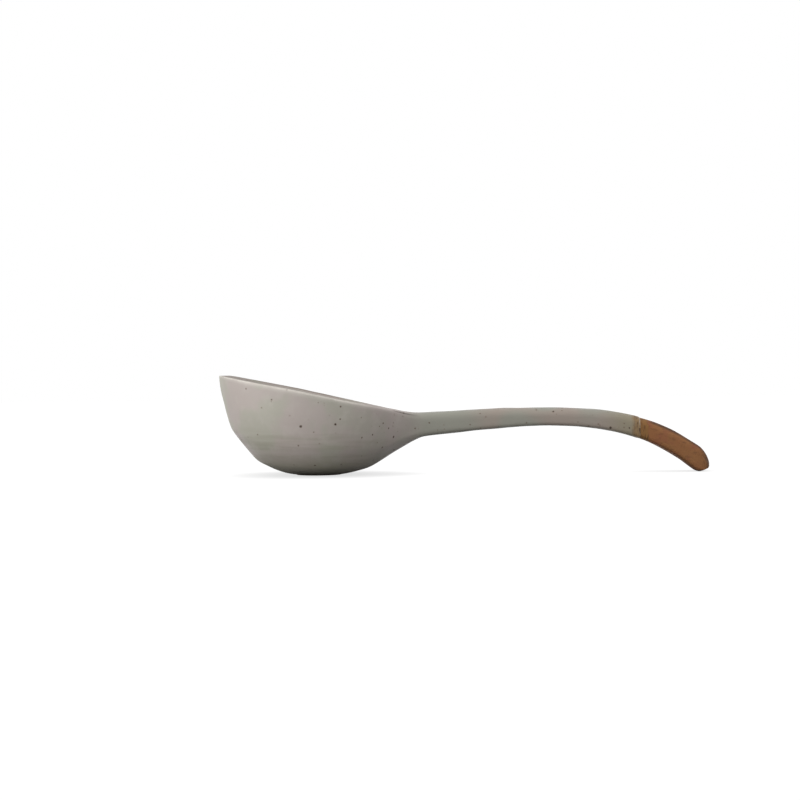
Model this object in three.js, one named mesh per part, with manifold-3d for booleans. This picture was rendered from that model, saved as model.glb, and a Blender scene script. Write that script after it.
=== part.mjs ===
// A hand-built stoneware soup spoon, in millimetres, with +Z up.
// A trimmed bowl and a pulled handle are two pieces of clay, luted together with slip.
// The spoon is then dipped in glaze while it is held by the end of its handle,
// so one coat covers all of it but the handle's tip and the foot that it is fired on.
// The origin is the centre of the foot, on the table. +X runs along the handle, away from the bowl.
import * as THREE from "three";
import { LoftGeometry } from "three/addons/geometries/LoftGeometry.js";
import { mergeVertices } from "three/addons/utils/BufferGeometryUtils.js";
import Module from "manifold-3d";

// Bowl, measured over the glaze
const MOUTH_LENGTH = 75.7;
const MOUTH_WIDTH = 72;
const MOUTH_FORWARD = 2.7; // the mouth's centre lies ahead of the foot's
const LIP_HEIGHT = 41; // the rim at the front, where the spoon is drunk from
const BACK_HEIGHT = 25.5; // the rim at the handle
const RIM_CROWN = 0.8; // the rim's sides stand this far above a straight line from lip to back
const RIM_ROUND = 1.2; // radius of the rim's two edges
const BOWL_WALL = 4.9;
const WALL_POWER = 1.9; // of the front and back: 2 is an oval wall, and less is a flatter one
const SIDE_POWER = 2.4; // of the sides, which are fuller
const TRIM_CUTS = [0, 31, 56, 83]; // the knife's cuts up the wall meet here, in degrees of its curve
const TRIM_FLATNESS = 0.9; // 0 leaves the wall round, and 1 leaves the cuts flat
const FOOT_TRIM = 0.55; // share of that flatness in the lowest cut, beside the foot
const BACK_TRIM = 0.7; // share of it under the handle
const SIDE_TRIM = 0.35; // share of it at the sides, where the cuts were smoothed over
const SIDE_ENDS = [0.35, 0.9]; // the sides pass into front and back here, as cosines from them

// Foot
const FOOT_LENGTH = 21.5;
const FOOT_WIDTH = 23;
const FOOT_RISE = 0.4; // the bare foot stands this far below the glaze

// Handle, measured over the glaze
const HANDLE_REACH = 152.1; // from the foot's centre to where the tip starts to round off
const NECK_REACH = 42; // from the foot's centre to the end of the root's flare
const NECK_HEIGHT = 20.1; // of the middle of the section
const NECK_CLIMB = 4.6; // degrees
const NECK_PULL = 56; // how far the climb carries into the arch
const TIP_DROOP = 36.3; // degrees
const TIP_PULL = 31.6; // how far the droop carries back into the arch
const WAIST_SHARE = 0.46; // where along the arch the handle is at its thinnest
const WAIST_POWER = 1.15; // how gently it thins towards there
const NECK_WIDTH = 15;
const NECK_THICKNESS = 9.4;
const WAIST_WIDTH = 12.6;
const WAIST_THICKNESS = 7.3;
const TIP_WIDTH = 15;
const TIP_THICKNESS = 10.2;
const NOSE_LENGTH = 8.8; // the rounded end of the tip
const NOSE_POWER = 1.57; // of the nose's top: 2 is round, and less is flatter
const HEEL_POWER = 3.5; // of its underside, which is squarer and ends in a heel
const NOSE_SIDES = [-0.35, 0.5]; // its top passes into its underside here, as sines below its middle
const HEEL_CUT = 0.73; // the heel is rubbed flat by this much, where it rests on the table
const HEEL_START = 2.4; // from the start of the nose to where the cut under its end begins
const HEEL_SLOPE = 18; // of that cut, in degrees
const SECTION_POWER = 2.4; // of the section's top: 2 is oval, and more is squarer
const UNDER_POWER = 4.2; // of its underside, which rounds off into the flare

// Root of the handle, where it spreads on to the bowl
const ROOT_DEPTH = 11.15; // from the back of the rim in to the root's end, inside the wall
const FLARE_POWER = 1.2; // 1 is a straight flare, and more is a hollow one
const FLARE_DROP = 8.8; // extra depth under the root
const FLARE_LIFT = 3.2; // extra height over the root
const FLARE_SPREAD = 8.5; // extra half width at each side

// Layers and joints
const GLAZE = 0.5;
const GLAZE_PROUD = 0.3; // the glaze stands this far above the bare tip
const BARE_LENGTH = 33.5; // of the tip, along the arch
const SLIP = 0.6;
const SEAT_GAP = 0.3; // clearance between two pieces that seat on each other

// Finishes
const TOASTED_CLAY = 0x84583a;
const FIRED_SLIP = 0x8e6244;
const GREY_GLAZE = 0xa39b93;
const MATT = 0.85; // roughness
const SATIN = 0.45;

// Fineness of the facets
const BOWL_SIDES = 40;
const STEPS_PER_CUT = 2;
const ROUND_STEPS = 3;
const HANDLE_SIDES = 24;
const ROOT_STEPS = 7;
const ARCH_STEPS = 22;
const NOSE_STEPS = 6;

const TURN = 2 * Math.PI;
const RIM_CLIMB = 90; // the wall's curve ends upright, in degrees
const UNDER_GLAZE = GLAZE + SEAT_GAP; // depth of the clay's surface below the glaze's
const BACK_REACH = MOUTH_LENGTH / 2 - MOUTH_FORWARD; // from the foot's centre to the back of the rim
const FLARE_REACH = NECK_REACH - BACK_REACH + ROOT_DEPTH; // from the neck back to the root's end
const radians = THREE.MathUtils.degToRad;
const lerp = THREE.MathUtils.lerp;
const wasm = await Module();
wasm.setup();

// A sine or cosine, bent so that a circle becomes a squarer or flatter oval.
function bulge(value, power) {
  return Math.sign(value) * Math.abs(value) ** (2 / power);
}

// The outside of the bowl: its rim, its wall and what lies at a depth below them

function rimHeight(angle) {
  const back = Math.cos(angle); // 1 at the handle, -1 at the lip
  const middle = (LIP_HEIGHT + BACK_HEIGHT) / 2;
  const slope = (LIP_HEIGHT - BACK_HEIGHT) / 2;
  return middle - slope * back + RIM_CROWN * (1 - back * back);
}

// A quarter of a unit oval, from the foot (climb 0) up to the rim, with the knife's flat cuts.
function trimmedCurve(climb, power, flatness) {
  const oval = (degrees) => {
    const turn = radians(degrees);
    return new THREE.Vector2(bulge(Math.sin(turn), power), 1 - bulge(Math.cos(turn), power));
  };
  const top = TRIM_CUTS.findIndex((cut, i) => i > 0 && climb <= cut);
  if (top < 0) return oval(climb);
  const [low, high] = [TRIM_CUTS[top - 1], TRIM_CUTS[top]];
  const chord = oval(low).lerp(oval(high), (climb - low) / (high - low));
  return oval(climb).lerp(chord, low === 0 ? flatness * FOOT_TRIM : flatness);
}

function wallPoint(angle, climb) {
  const [along, across] = [Math.cos(angle), Math.sin(angle)];
  const end = THREE.MathUtils.smoothstep(Math.abs(along), ...SIDE_ENDS);
  const flatness = TRIM_FLATNESS * lerp(SIDE_TRIM, along < 0 ? 1 : BACK_TRIM, end);
  const power = lerp(WALL_POWER, SIDE_POWER, across * across);
  const { x: out, y: up } = trimmedCurve(climb, power, flatness);
  const rim = new THREE.Vector2((MOUTH_LENGTH / 2) * along - MOUTH_FORWARD, (MOUTH_WIDTH / 2) * across);
  const plan = new THREE.Vector2((FOOT_LENGTH / 2) * along, (FOOT_WIDTH / 2) * across).lerp(rim, out);
  return new THREE.Vector3(plan.x, plan.y, lerp(FOOT_RISE, rimHeight(angle) - RIM_ROUND, up));
}

// A point at a depth below the wall, square to it. A depth below zero lies outside the bowl.
function wallLayer(angle, climb, depth) {
  const step = 0.01;
  const round = wallPoint(angle + step, climb).sub(wallPoint(angle - step, climb));
  const above = wallPoint(angle, Math.min(climb + step, RIM_CLIMB));
  const upward = above.sub(wallPoint(angle, Math.max(climb - step, 0)));
  const inward = upward.cross(round).normalize();
  return wallPoint(angle, climb).addScaledVector(inward, depth);
}

function ring(sides, pointAt) {
  return Array.from({ length: sides }, (_, i) => pointAt((i / sides) * TURN));
}

function climbs() {
  const ends = [...TRIM_CUTS, RIM_CLIMB];
  const stops = ends.slice(1).flatMap((end, i) =>
    Array.from({ length: STEPS_PER_CUT }, (_, n) => lerp(ends[i], end, n / STEPS_PER_CUT)),
  );
  return [...stops, RIM_CLIMB];
}

function wallRings(depth) {
  return climbs().map((climb) => ring(BOWL_SIDES, (angle) => wallLayer(angle, climb, depth)));
}

// One edge of the rim, as rings from the upright wall to the flat top, on the outside or inside of the bowl.
function rimEdge(depth, side) {
  const radius = RIM_ROUND - depth;
  return Array.from({ length: ROUND_STEPS }, (_, i) => {
    const turn = ((i + 1) / ROUND_STEPS) * (TURN / 4);
    const inset = depth + radius * (1 - Math.cos(turn));
    return ring(BOWL_SIDES, (angle) => {
      const layer = side === "outside" ? inset : BOWL_WALL - inset;
      const point = wallLayer(angle, RIM_CLIMB, layer);
      point.z += radius * Math.sin(turn);
      return point;
    });
  });
}

// The bowl as a closed shell, taken in by a depth on every side.
function bowlShell(depth) {
  return loft([
    ...wallRings(depth),
    ...rimEdge(depth, "outside"),
    ...rimEdge(depth, "inside").reverse(),
    ...wallRings(BOWL_WALL - depth).reverse(),
  ]);
}

// All the room inside the bowl's wall at a depth, carried on straight up past the rim.
function bowlRoom(depth) {
  const above = ring(BOWL_SIDES, (angle) => wallLayer(angle, RIM_CLIMB, depth).setZ(2 * LIP_HEIGHT));
  return loft([...wallRings(depth), above]);
}

// The foot's oval, grown by a margin, from a height up into the clay of the bowl's floor.
function footDisc(margin, low) {
  const oval = (height) =>
    ring(BOWL_SIDES, (angle) => {
      const outward = new THREE.Vector3(Math.cos(angle), Math.sin(angle), 0);
      return wallPoint(angle, 0).addScaledVector(outward, margin).setZ(height);
    });
  return loft([oval(low), oval(FOOT_RISE + UNDER_GLAZE + GLAZE)]);
}

// The handle: a spine in the plane of symmetry, and oval sections square to it

const droop = radians(TIP_DROOP);
const rise = radians(NECK_CLIMB);
const neckWay = new THREE.Vector3(Math.cos(rise), 0, Math.sin(rise));
const tipWay = new THREE.Vector3(Math.cos(droop), 0, -Math.sin(droop));
// The nose reaches this far below its middle before it is cut, so its middle stands about that high.
const noseFall = (NOSE_LENGTH - GLAZE_PROUD) * Math.sin(droop);
const sideFall = (TIP_THICKNESS / 2 - GLAZE_PROUD) * Math.cos(droop);
const heelShare = HEEL_POWER / (HEEL_POWER - 1);
const tipReach = (noseFall ** heelShare + sideFall ** heelShare) ** (1 / heelShare);
const neck = new THREE.Vector3(NECK_REACH, 0, NECK_HEIGHT);
const noseStart = new THREE.Vector3(HANDLE_REACH, 0, tipReach - HEEL_CUT);
const arch = new THREE.CubicBezierCurve3(
  neck,
  neck.clone().addScaledVector(neckWay, NECK_PULL),
  noseStart.clone().addScaledVector(tipWay, -TIP_PULL),
  noseStart,
);
const archLength = arch.getLength();
const glazeLine = 1 - (BARE_LENGTH - NOSE_LENGTH) / archLength; // as a share of the arch

function archSize(share, neckSize, waistSize, tipSize) {
  const end = share < WAIST_SHARE ? neckSize : tipSize;
  const away = share < WAIST_SHARE ? 1 - share / WAIST_SHARE : (share - WAIST_SHARE) / (1 - WAIST_SHARE);
  return lerp(waistSize, end, away ** WAIST_POWER);
}

// A section of the handle: its middle, the way that it faces and its reach up, down and sideways.
function section(middle, facing, width, thickness, flare = 0) {
  return {
    middle,
    facing,
    upward: new THREE.Vector3(-facing.z, 0, facing.x),
    up: thickness / 2 + FLARE_LIFT * flare,
    down: thickness / 2 + FLARE_DROP * flare,
    side: width / 2 + FLARE_SPREAD * flare,
    underPower: lerp(UNDER_POWER, SECTION_POWER, flare),
  };
}

function rootSection(distance) {
  const middle = neck.clone().addScaledVector(neckWay, -distance);
  return section(middle, neckWay, NECK_WIDTH, NECK_THICKNESS, (distance / FLARE_REACH) ** FLARE_POWER);
}

function archSection(share) {
  const width = archSize(share, NECK_WIDTH, WAIST_WIDTH, TIP_WIDTH);
  const thickness = archSize(share, NECK_THICKNESS, WAIST_THICKNESS, TIP_THICKNESS);
  return section(arch.getPointAt(share), arch.getTangentAt(share), width, thickness);
}

function sectionRing({ middle, upward, up, down, side, underPower }, depth) {
  return ring(HANDLE_SIDES, (angle) => {
    const [reach, power] = Math.sin(angle) > 0 ? [up, SECTION_POWER] : [down, underPower];
    const point = middle.clone().addScaledVector(upward, bulge(Math.sin(angle), power) * (reach - depth));
    point.y += bulge(Math.cos(angle), power) * (side - depth);
    return point;
  });
}

function rootRings(depth) {
  return Array.from({ length: ROOT_STEPS }, (_, i) =>
    sectionRing(rootSection(FLARE_REACH * (1 - i / ROOT_STEPS)), depth),
  );
}

function archRings(depth, from, to) {
  const steps = Math.max(2, Math.round(ARCH_STEPS * (to - from)));
  return Array.from({ length: steps + 1 }, (_, i) =>
    sectionRing(archSection(lerp(from, to, i / steps)), depth),
  );
}

// The rounded end: each ring is the arch's last one, moved on and drawn in, less so on its underside.
function noseRings(depth) {
  const { middle, facing } = archSection(1);
  const last = sectionRing(archSection(1), depth);
  return Array.from({ length: NOSE_STEPS }, (_, i) => {
    const turn = ((i + 1) / (NOSE_STEPS + 1)) * (TURN / 4);
    return last.map((point, n) => {
      const spoke = point.clone().sub(middle);
      const below = THREE.MathUtils.smoothstep(-Math.sin((n / HANDLE_SIDES) * TURN), ...NOSE_SIDES);
      const power = lerp(NOSE_POWER, HEEL_POWER, below);
      const onward = (NOSE_LENGTH - depth) * bulge(Math.sin(turn), power);
      const drawn = spoke.multiplyScalar(bulge(Math.cos(turn), power));
      return drawn.add(middle).addScaledVector(facing, onward);
    });
  });
}

// Solids

// A closed solid from a geometry, with its shared corners joined and its empty triangles left out.
function solidOf(geometry) {
  const bare = new THREE.BufferGeometry().copy(geometry).deleteAttribute("normal").deleteAttribute("uv");
  const merged = mergeVertices(bare);
  const corners = merged.index.array;
  const triangles = Array.from({ length: corners.length / 3 }, (_, i) => corners.slice(3 * i, 3 * i + 3));
  const whole = triangles.filter((triangle) => new Set(triangle).size === 3);
  return new wasm.Manifold(
    new wasm.Mesh({
      numProp: 3,
      vertProperties: merged.attributes.position.array,
      triVerts: new Uint32Array(whole.flatMap((triangle) => [...triangle])),
    }),
  );
}

// A solid through rings of points, drawn together to one point at each end.
function loft(rings) {
  const centre = (points) => {
    const sum = points.reduce((total, point) => total.add(point), new THREE.Vector3());
    return points.map(() => sum.clone().divideScalar(points.length));
  };
  return solidOf(new LoftGeometry([centre(rings[0]), ...rings, centre(rings.at(-1))]));
}

// All that lies under a plane, which starts on the table and slopes up towards the tip.
function roomUnder(start, slope) {
  const size = 4 * HANDLE_REACH;
  const block = new THREE.BoxGeometry(size, size, size).translate(0, 0, -size / 2);
  return solidOf(block.rotateY(-radians(slope)).translate(start, 0, 0));
}

function pieceMesh(name, solid, color, roughness) {
  const { numProp, vertProperties, triVerts } = solid.getMesh();
  const geometry = new THREE.BufferGeometry();
  geometry.setAttribute("position", new THREE.BufferAttribute(vertProperties, numProp));
  geometry.setIndex(new THREE.BufferAttribute(triVerts, 1));
  geometry.computeVertexNormals();
  const material = new THREE.MeshStandardMaterial({ color, roughness, metalness: 0 });
  const mesh = new THREE.Mesh(geometry, material);
  mesh.name = name;
  return mesh;
}

// The bowl of bare clay, with the foot that stands out below the glaze.
function bowlClay() {
  return bowlShell(UNDER_GLAZE).add(footDisc(0, 0));
}

// The slip lies between the bowl's wall and the root of the handle, a seat gap from each.
const slipInside = UNDER_GLAZE - SEAT_GAP;
const slipOutside = slipInside - SLIP;
const rootSeat = slipOutside - SEAT_GAP;

function slipClay() {
  const root = loft([...rootRings(UNDER_GLAZE), ...archRings(UNDER_GLAZE, 0, WAIST_SHARE)]);
  return root.intersect(bowlRoom(slipOutside)).subtract(bowlRoom(slipInside));
}

// The handle of bare clay: under the glaze as far as its edge, and nearly as big as the coat from there on.
function handleClay() {
  const shoulder = glazeLine + SEAT_GAP / archLength;
  const whole = loft([
    ...rootRings(UNDER_GLAZE),
    ...archRings(UNDER_GLAZE, 0, shoulder),
    ...archRings(GLAZE_PROUD, shoulder, 1),
    ...noseRings(GLAZE_PROUD),
  ]);
  const heelCut = roomUnder(HANDLE_REACH + HEEL_START, HEEL_SLOPE);
  return whole.subtract(bowlRoom(rootSeat)).subtract(heelCut).subtract(roomUnder(0, 0));
}

// The coat of glaze: the outside of bowl and handle, less the room that the clay takes up in it.
function glazeCoat() {
  const handleAt = (depth, end) =>
    loft([...rootRings(depth), ...archRings(depth, 0, end)]).subtract(bowlRoom(BOWL_WALL / 2));
  const outside = bowlShell(0).add(handleAt(0, glazeLine));
  const inside = bowlShell(GLAZE).add(handleAt(GLAZE, 1));
  return outside.subtract(inside).subtract(footDisc(SEAT_GAP, -FOOT_RISE));
}

// The spoon

const clay = new THREE.Group();
clay.add(pieceMesh("bowl", bowlClay(), TOASTED_CLAY, MATT));
clay.add(pieceMesh("handle", handleClay(), TOASTED_CLAY, MATT));
clay.add(pieceMesh("luting_slip", slipClay(), FIRED_SLIP, MATT));

const spoon = new THREE.Group();
spoon.add(clay);
spoon.add(pieceMesh("glaze_coat", glazeCoat(), GREY_GLAZE, SATIN));

export default spoon;
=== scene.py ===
"""Dresses a hand-built stoneware soup spoon: its clay bowl and handle, the slip between them and the glaze.

Every length is in metres, in the spoon's own frame. The origin is the middle of the foot, on the table.
+X runs along the handle towards its tip, and +Z is up. Angles round the bowl start at the handle.
A zone holds where something starts and where it is whole, and the first may be the larger. In the finishes
two more values may follow: how much of it there is at each end, where that isn't 0 and 1.
"""

import math

import bmesh
import bpy
from bpy.props import FloatProperty, FloatVectorProperty, PointerProperty
from bpy.types import Operator, Panel, PropertyGroup
from mathutils import Color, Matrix, Quaternion, Vector, noise
from mathutils.geometry import interpolate_bezier


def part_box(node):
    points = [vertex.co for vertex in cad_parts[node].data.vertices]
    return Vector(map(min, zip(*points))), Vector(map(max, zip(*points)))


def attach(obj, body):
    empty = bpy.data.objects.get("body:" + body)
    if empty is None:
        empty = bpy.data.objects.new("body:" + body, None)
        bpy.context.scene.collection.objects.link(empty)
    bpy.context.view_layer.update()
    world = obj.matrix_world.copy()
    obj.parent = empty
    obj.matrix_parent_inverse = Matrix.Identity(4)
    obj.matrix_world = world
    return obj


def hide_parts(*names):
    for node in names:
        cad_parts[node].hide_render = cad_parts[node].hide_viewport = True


bl_info = {
    "name": "Stoneware soup spoon",
    "version": (1, 0, 0),
    "blender": (4, 5, 0),
    "location": "3D View > Sidebar > Spoon",
    "description": "Builds a glazed stoneware soup spoon with a bare handle tip, and a plain studio round it",
    "category": "Add Mesh",
}

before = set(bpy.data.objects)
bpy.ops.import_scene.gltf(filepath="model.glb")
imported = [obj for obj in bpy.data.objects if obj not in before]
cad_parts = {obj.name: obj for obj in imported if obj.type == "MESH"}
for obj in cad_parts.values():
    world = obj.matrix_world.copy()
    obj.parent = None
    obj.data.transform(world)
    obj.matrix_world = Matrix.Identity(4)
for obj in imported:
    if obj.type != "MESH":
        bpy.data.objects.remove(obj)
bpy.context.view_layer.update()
COAT_LOW, COAT_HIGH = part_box("glaze_coat")

BODY = "root"
MM = 0.001

MOUTH_FORWARD = 2.7 * MM
WHITE = (1, 1, 1)


def length(name, description, default):
    """A size of the spoon or of the studio."""
    return FloatProperty(
        name=name, description=description, default=default, precision=5, subtype="DISTANCE", unit="LENGTH"
    )


def angle(name, description, degrees):
    """An angle of the spoon or of the studio."""
    return FloatProperty(
        name=name, description=description, default=math.radians(degrees), subtype="ANGLE", unit="ROTATION"
    )


def share(name, description, default):
    """A number without a unit."""
    return FloatProperty(name=name, description=description, default=default, subtype="FACTOR")


def lamp_power(name, description, watts):
    """The power of a lamp."""
    return FloatProperty(name=name, description=description, default=watts, unit="POWER")


def position(name, description, default):
    """A place in the studio."""
    return FloatVectorProperty(
        name=name, description=description, default=default, subtype="TRANSLATION", unit="LENGTH"
    )


def colour(name, description, screen):
    """A colour, given as it looks on a screen, from 0 to 255."""
    linear = Color([value / 255 for value in screen]).from_srgb_to_scene_linear()
    return FloatVectorProperty(
        name=name, description=description, default=tuple(linear), size=3, min=0, max=1, subtype="COLOR"
    )


class BowlShape(PropertyGroup):
    """Sizes of the bowl, over the glaze"""

    mouth_length: length("Mouth length", "From lip to back", 2 * (-COAT_LOW.x - MOUTH_FORWARD))
    mouth_width: length("Mouth width", "From side to side", COAT_HIGH.y - COAT_LOW.y)
    mouth_forward: length("Mouth forward", "How far its middle lies ahead of the foot's", MOUTH_FORWARD)
    lip_height: length("Lip height", "Height of the rim at the front", COAT_HIGH.z)
    back_height: length("Back height", "Height of the rim at the handle", 25.3 * MM)
    rim_crown: length("Rim crown", "How far the rim's sides stand above a straight line", 0.6 * MM)
    rim_round: length("Rim round", "Radius of the rim's two edges at the sides and the back", 1.4 * MM)
    lip_round: length("Lip round", "Radius of the rim's two edges at the front", 0.6 * MM)
    wall: length("Wall", "Thickness of the wall", 4.9 * MM)
    wall_power: share("Wall power", "At the front and back: 2 is an oval, and less is flatter", 1.94)
    side_power: share("Side power", "Of the sides, which are fuller", 2.8)
    trim: share("Trim", "0 leaves the outside round, and 1 leaves the knife's cuts flat", 0.95)
    trim_low: share("Trim at the foot", "How much of the trim the lowest cut has", 0.55)
    trim_back: share("Trim at the back", "How much of the trim is left under the handle", 0.7)
    trim_sides: share("Trim at the sides", "How much of the trim is left at the sides of the bowl", 0.05)
    foot_length: length("Foot length", "Length of the bare foot", 18.3 * MM)
    foot_width: length("Foot width", "Width of the bare foot", 19.5 * MM)
    foot_rise: length("Foot rise", "How far the foot stands below the glaze", 0.2 * MM)
    foot_round: length("Foot round", "Radius of the foot's edge", 0.25 * MM)
    foot_bearing: length("Foot bearing", "Width of the ring that the foot stands on", 3.2 * MM)
    foot_dish: length("Foot dish", "How far the foot is hollowed in the middle", 0.3 * MM)


class HandleShape(PropertyGroup):
    """Sizes of the handle, over the glaze"""

    reach: length("Reach", "From the foot to where the tip starts to round off", 152.28 * MM)
    neck_reach: length("Neck reach", "From the foot to the neck", 42 * MM)
    neck_height: length("Neck height", "Height of the neck's middle", 20.1 * MM)
    neck_climb: angle("Neck climb", "How steeply the handle leaves the bowl", 4.6)
    neck_pull: length("Neck pull", "How far the climb carries into the arch", 56 * MM)
    neck_width: length("Neck width", "Width of the neck", 15 * MM)
    neck_thickness: length("Neck thickness", "Thickness of the neck", 9.7 * MM)
    neck_sweep: share("Neck sweep", "How far the wall's curve carries into the neck", 0.55)
    neck_fill: share("Neck fill", "How far the underside of the neck runs straight to the wall", 0.9)
    neck_ease: share("Neck ease", "How much less of the arch's way carries into that underside", 0.5)
    waist_share: share("Waist share", "Where along the arch the handle is thinnest", 0.46)
    waist_power: share("Waist power", "How gently the handle thins towards its waist", 1.15)
    waist_width: length("Waist width", "Width of the waist", 12.6 * MM)
    waist_thickness: length("Waist thickness", "Thickness of the waist", 7.3 * MM)
    tip_droop: angle("Tip droop", "How steeply the tip comes down", 36.3)
    tip_pull: length("Tip pull", "How far the droop carries back into the arch", 31.6 * MM)
    tip_width: length("Tip width", "Width of the tip", 15 * MM)
    tip_thickness: length("Tip thickness", "Thickness of the tip", 9.6 * MM)
    nose_length: length("Nose length", "Length of the tip's rounded end", 8.7 * MM)
    nose_power: share("Nose power", "2 is a round top to the nose, and less is a flatter one", 1.57)
    heel_power: share("Heel power", "2 is a round underside to the nose, and more is a squarer one", 4.5)
    heel_cut: length("Heel cut", "How far the heel is rubbed flat", 0.61 * MM)
    heel_start: length("Heel start", "From the start of the nose to the cut under its end", 2 * MM)
    heel_slope: angle("Heel slope", "Slope of that cut", 18)
    heel_soft: length("Heel softness", "How rounded the heel's edges are", 0.08 * MM)
    section_power: share("Section power", "Of the handle's top: 2 is oval, and more is squarer", 2.2)
    neck_power: share("Neck power", "Of the handle's top at the neck", 3.7)
    tip_power: share("Tip power", "Of the handle's top at the tip", 3.4)
    under_power: share("Underside power", "Of the handle's underside: 2 is oval, and more is squarer", 5.5)
    bare_length: length("Bare length", "Length of the bare tip, along the arch", 33.2 * MM)


class SpoonFinish(PropertyGroup):
    """Layers, colours and textures of the spoon"""

    skin: length("Glaze", "Thickness of the glaze that shows", 0.28 * MM)
    proud: length("Glaze step", "How far the glaze stands above the bare tip", 0.3 * MM)
    clay_depth: length("Clay depth", "Depth of the clay below the glaze's surface", 0.42 * MM)
    root_cover: length("Root cover", "How far the rim's clay lies lower under the handle", 1.2 * MM)
    slip_gap: length("Slip gap", "Clearance on each side of the slip", 0.05 * MM)
    edge_wave: length("Edge wave", "How far the glaze's edge wanders along the handle", 0.25 * MM)
    wobble: length("Wobble", "How far the hand-made surfaces wander", 0.35 * MM)
    wobble_size: length("Wobble size", "Distance from one such dent to the next", 15 * MM)
    glaze_warm: colour("Warm glaze", "The glaze where it is pinkish", (186, 176, 170))
    glaze_cool: colour("Cool glaze", "The glaze where it is greenish", (180, 177, 165))
    glaze_mauve: colour("Mauve glaze", "The glaze on its way to the handle", (172, 159, 156))
    # Also painted shade on the floor inside, where the glaze pools, so that the bowl looks deeper
    glaze_deep_and_shade: colour("Deep glaze", "The glaze on the floor inside and in throwing lines", (150, 147, 128))
    glaze_pale: colour("Pale glaze", "The glaze where it clouds", (196, 190, 182))
    glaze_pooled: colour("Pooled glaze", "The glaze where it ran down to the foot", (178, 174, 154))
    # Pale glaze on the rolled edge on the handle, and the painted highlight on the rim's outer edge
    glaze_rolled_and_highlight: colour("Thin glaze", "The glaze where it rolls over an edge", (214, 208, 199))
    # Darker, browner glaze on the rim's top, most of it towards the lip
    glaze_rim_dark: colour("Broken glaze", "The glaze on the rim, where clay shows through", (124, 111, 100))
    glaze_handle: colour("Handle glaze", "The glaze on the handle, which is slighter", (158, 157, 146))
    glaze_blush: colour("Blush", "The handle's glaze where the fire reddened it", (166, 154, 144))
    glaze_stained: colour("Stained glaze", "The handle's glaze on its way to the edge", (156, 147, 127))
    glaze_honey: colour("Honey glaze", "The glaze along its edge, where the clay stains it", (150, 120, 82))
    speck_dark: colour("Dark speck", "The middle of an iron speck", (58, 46, 40))
    speck_halo: colour("Speck halo", "The stain round an iron speck", (138, 121, 106))
    speck_spacing: length("Speck spacing", "Distance from one large speck to the next", 4.6 * MM)
    speck_size: length("Speck size", "Radius of the largest specks", 0.58 * MM)
    clay_toasted: colour("Toasted clay", "The bare clay", (154, 102, 64))
    # Also painted shade along the tip's outline and at its heel, beside the dark grain, grit and strokes
    clay_dark_and_shade: colour("Dark clay", "The bare clay where the fire caught it", (74, 52, 37))
    clay_red: colour("Red clay", "The bare clay where it is redder", (150, 90, 68))
    clay_pale: colour("Pale clay", "The bare clay where it is worn", (160, 116, 74))
    flash: colour("Flash", "The ochre flash along the glaze", (148, 108, 62))
    flash_length: length("Flash length", "Length of that flash", 3.2 * MM)
    slip_pale: colour("Pale slip", "The slip between bowl and handle", (152, 108, 78))


class SpoonStage(PropertyGroup):
    """The camera, the lamps and the floor"""

    lens: FloatProperty(name="Lens", description="Focal length", default=85, min=1, unit="CAMERA")
    distance: length("Distance", "From the camera to the spoon", 770.7 * MM)
    target: position("Target", "The point in the middle of the picture", (33.33 * MM, 0, 30.1 * MM))
    elevation: angle("Elevation", "How far the camera looks down", 0.45)
    roll: angle("Roll", "How far the camera leans to the right", 0.56)
    key_place: position("Key place", "Where the main lamp hangs", (-0.28, -0.12, 0.1))
    key_size: length("Key size", "Width of the main lamp", 0.2)
    key_power: lamp_power("Key power", "Power of the main lamp", 0.38)
    fill_place: position("Fill place", "Where the fill lamp hangs", (-0.06, -0.4, 0.06))
    fill_size: length("Fill size", "Width of the fill lamp", 0.25)
    fill_power: lamp_power("Fill power", "Power of the fill lamp", 0.36)
    sky: share("Sky", "Strength of the even light all round", 0.77)
    floor_white: share("Floor white", "How much of the floor's white isn't shaded", 0.955)
    floor_shade: share("Floor shade", "How much of the spoon's shadow shows on the floor", 0.12)
    floor_bounce: share("Floor bounce", "How much light the floor throws back up", 0.06)
    # The ambient occlusion that dims the floor's white close round the spoon is painted contact shade
    contact: length("Contact", "How far round the spoon the floor is dimmed", 15 * MM)
    contact_seen: share("Contact seen", "How much of that shows. The spoon's gloss shows all of it", 0.25)


# The bowl's wall

# The knife's cuts up the outside meet here, in degrees of the wall's curve
TRIM_CUTS = (0, 32, 57.5, 83)
RIM_CLIMB = 90

# Rows of the bowl's mesh, in degrees of the wall's curve. Two rows lie close to each cut that shows.
OUTSIDE_CLIMBS = (1.5, 5, 12, 21, 30, 34, 41, 48, 55.5, 59.5, 70, 82, 90)
INSIDE_CLIMBS = (90, 82, 72, 61, 50, 39, 28, 18, 9, 2)
FLOOR_SHARES = (0.8, 0.55, 0.3, 0.1)
ROUND_STEPS = 3
BOWL_SIDES = 64

# Zones round the bowl, as cosines from its lip or from its back
CRISP_LIP = (0.6, 0.95)
FRONT_CUTS = (0.6, 0.97)
BACK_CUTS = (0.75, 0.98)

# The wall is thicker by this share where its inside isn't trimmed as its outside is, in zones of its curve
INSIDE_SWELL = 0.1
SWELL_BELOW_RIM = (RIM_CLIMB, 70)
SWELL_ABOVE_FLOOR = (0, 12)

# The columns draw together by these shares below and above the handle, in zones of the wall's curve
NECK_PINCH = 0.42
NECK_PINCH_RISE = (5, 21)
NECK_PINCH_FALL = (59.5, 34)
RIM_PINCH = 0.3
RIM_PINCH_RISE = (66, RIM_CLIMB)

# The dish under the foot: how far in, in half lengths of the foot, and the share of its depth
DISH_ROWS = ((0.75, 1), (0.5, 0.85))
# Its start: how far in, in widths of the ring that the foot stands on, and the share of its depth
DISH_START = (1.2, 0.2)
FOOT_BEVEL = 0.25


def bulge(value, power):
    """A sine or cosine, bent so that a circle becomes a squarer or flatter oval."""
    return math.copysign(abs(value) ** (2 / power), value)


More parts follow.
